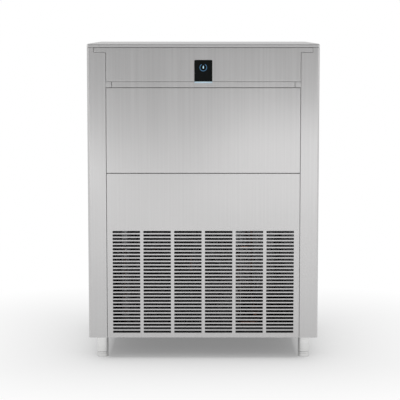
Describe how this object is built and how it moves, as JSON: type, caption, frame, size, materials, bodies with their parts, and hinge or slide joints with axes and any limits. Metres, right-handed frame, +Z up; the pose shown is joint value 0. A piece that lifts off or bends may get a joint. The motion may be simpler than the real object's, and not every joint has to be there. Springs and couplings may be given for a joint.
{
  "type": "ice cube machine",
  "caption": "Self-contained ice cube machine: steel cabinet on feet, slotted grille, lift-up door over a storage bin, spray evaporator and cooling unit inside.",
  "frame": {"origin": "on the floor under the centre of the machine", "axes": "+Z up, front towards -Y, +X to the right seen from the front"},
  "size_m": [0.84, 0.74, 1.155],
  "materials": {
    "brushed_steel": "vertical brushed stainless steel",
    "zinc_steel": "zinc coated sheet",
    "black_paint": "satin black paint",
    "copper": "drawn copper",
    "aluminium": "rolled fins",
    "white_plastic": "moulded, fine grain",
    "grey_plastic": "moulded",
    "black_rubber": "matt",
    "black_glass": "black printed glass, polished",
    "light_guide": "frosted light guide",
    "foam": "foamed plastic",
    "chrome": "ground"
  },
  "bodies": {
    "cabinet": {"base_tray": "zinc_steel", "bin_body": "foam", "bin_liner": "white_plastic", "cable_gland": "grey_plastic", "capillary_pipe": "copper", "compressor": "black_paint", "condenser": "aluminium", "control_box": "zinc_steel", "curtain_rod": "chrome", "discharge_pipe": "copper", "display_glass": "black_glass", "drain_hose": "grey_plastic", "drain_outlet": "grey_plastic", "evaporator": "copper", "evaporator_coil": "copper", "evaporator_frame": "brushed_steel", "fan_bracket": "zinc_steel", "fan_motor": "black_paint", "fan_shroud": "zinc_steel", "filter_drier": "copper", "foot_base_front_left": "brushed_steel", "foot_base_front_right": "brushed_steel", "foot_base_rear_left": "brushed_steel", "foot_base_rear_right": "brushed_steel", "foot_sleeve_front_left": "brushed_steel", "foot_sleeve_front_right": "brushed_steel", "foot_sleeve_rear_left": "brushed_steel", "foot_sleeve_rear_right": "brushed_steel", "front_fascia": "brushed_steel", "front_rail": "brushed_steel", "grille_panel": "brushed_steel", "guide_rail_left": "zinc_steel", "guide_rail_right": "zinc_steel", "ice_grid": "white_plastic", "inlet_valve": "white_plastic", "light_strip": "light_guide", "liquid_pipe": "copper", "rail_end_left": "brushed_steel", "rail_end_right": "brushed_steel", "rear_panel": "zinc_steel", "side_panel_left": "brushed_steel", "side_panel_right": "brushed_steel", "spray_bar": "white_plastic", "spray_housing": "white_plastic", "suction_pipe": "copper", "support_frame": "zinc_steel", "top_cover": "brushed_steel", "top_frame": "zinc_steel", "water_pump": "grey_plastic", "water_sump": "grey_plastic"},
    "door_carriage": {"door_shaft": "chrome", "door_glide_left": "white_plastic", "door_glide_right": "white_plastic"},
    "door": {"door_skin": "brushed_steel", "door_liner": "white_plastic", "door_gasket": "black_rubber"},
    "fan": {"fan_blade": "black_paint"},
    "flap_left": {"curtain_flap_1": "white_plastic"},
    "flap_middle": {"curtain_flap_2": "white_plastic"},
    "flap_right": {"curtain_flap_3": "white_plastic"}
  },
  "joints": [
    {"name": "door_slide", "type": "slide", "parent": "cabinet", "child": "door_carriage", "axis": [0, 1, 0], "range_m": [0, 0.2985]},
    {"name": "door_tilt", "type": "hinge", "parent": "door_carriage", "child": "door", "pos_m": [0, -0.35, 0.97], "axis": [-1, 0, 0], "range_deg": [0, 90]},
    {"name": "fan_spin", "type": "hinge", "parent": "cabinet", "child": "fan", "pos_m": [-0.08, -0.2377, 0.2718], "axis": [0, 1, 0], "continuous": true},
    {"name": "flap_left_swing", "type": "hinge", "parent": "cabinet", "child": "flap_left", "pos_m": [-0.1578, 0.052, 1.0659], "axis": [-1, 0, 0], "range_deg": [0, 60]},
    {"name": "flap_middle_swing", "type": "hinge", "parent": "cabinet", "child": "flap_middle", "pos_m": [0, 0.052, 1.0659], "axis": [-1, 0, 0], "range_deg": [0, 60]},
    {"name": "flap_right_swing", "type": "hinge", "parent": "cabinet", "child": "flap_right", "pos_m": [0.1578, 0.052, 1.0659], "axis": [-1, 0, 0], "range_deg": [0, 60]}
  ],
  "couplings": [
    {"joint": "door_slide", "follows": "door_tilt", "m_per_rad": 0.19}
  ]
}
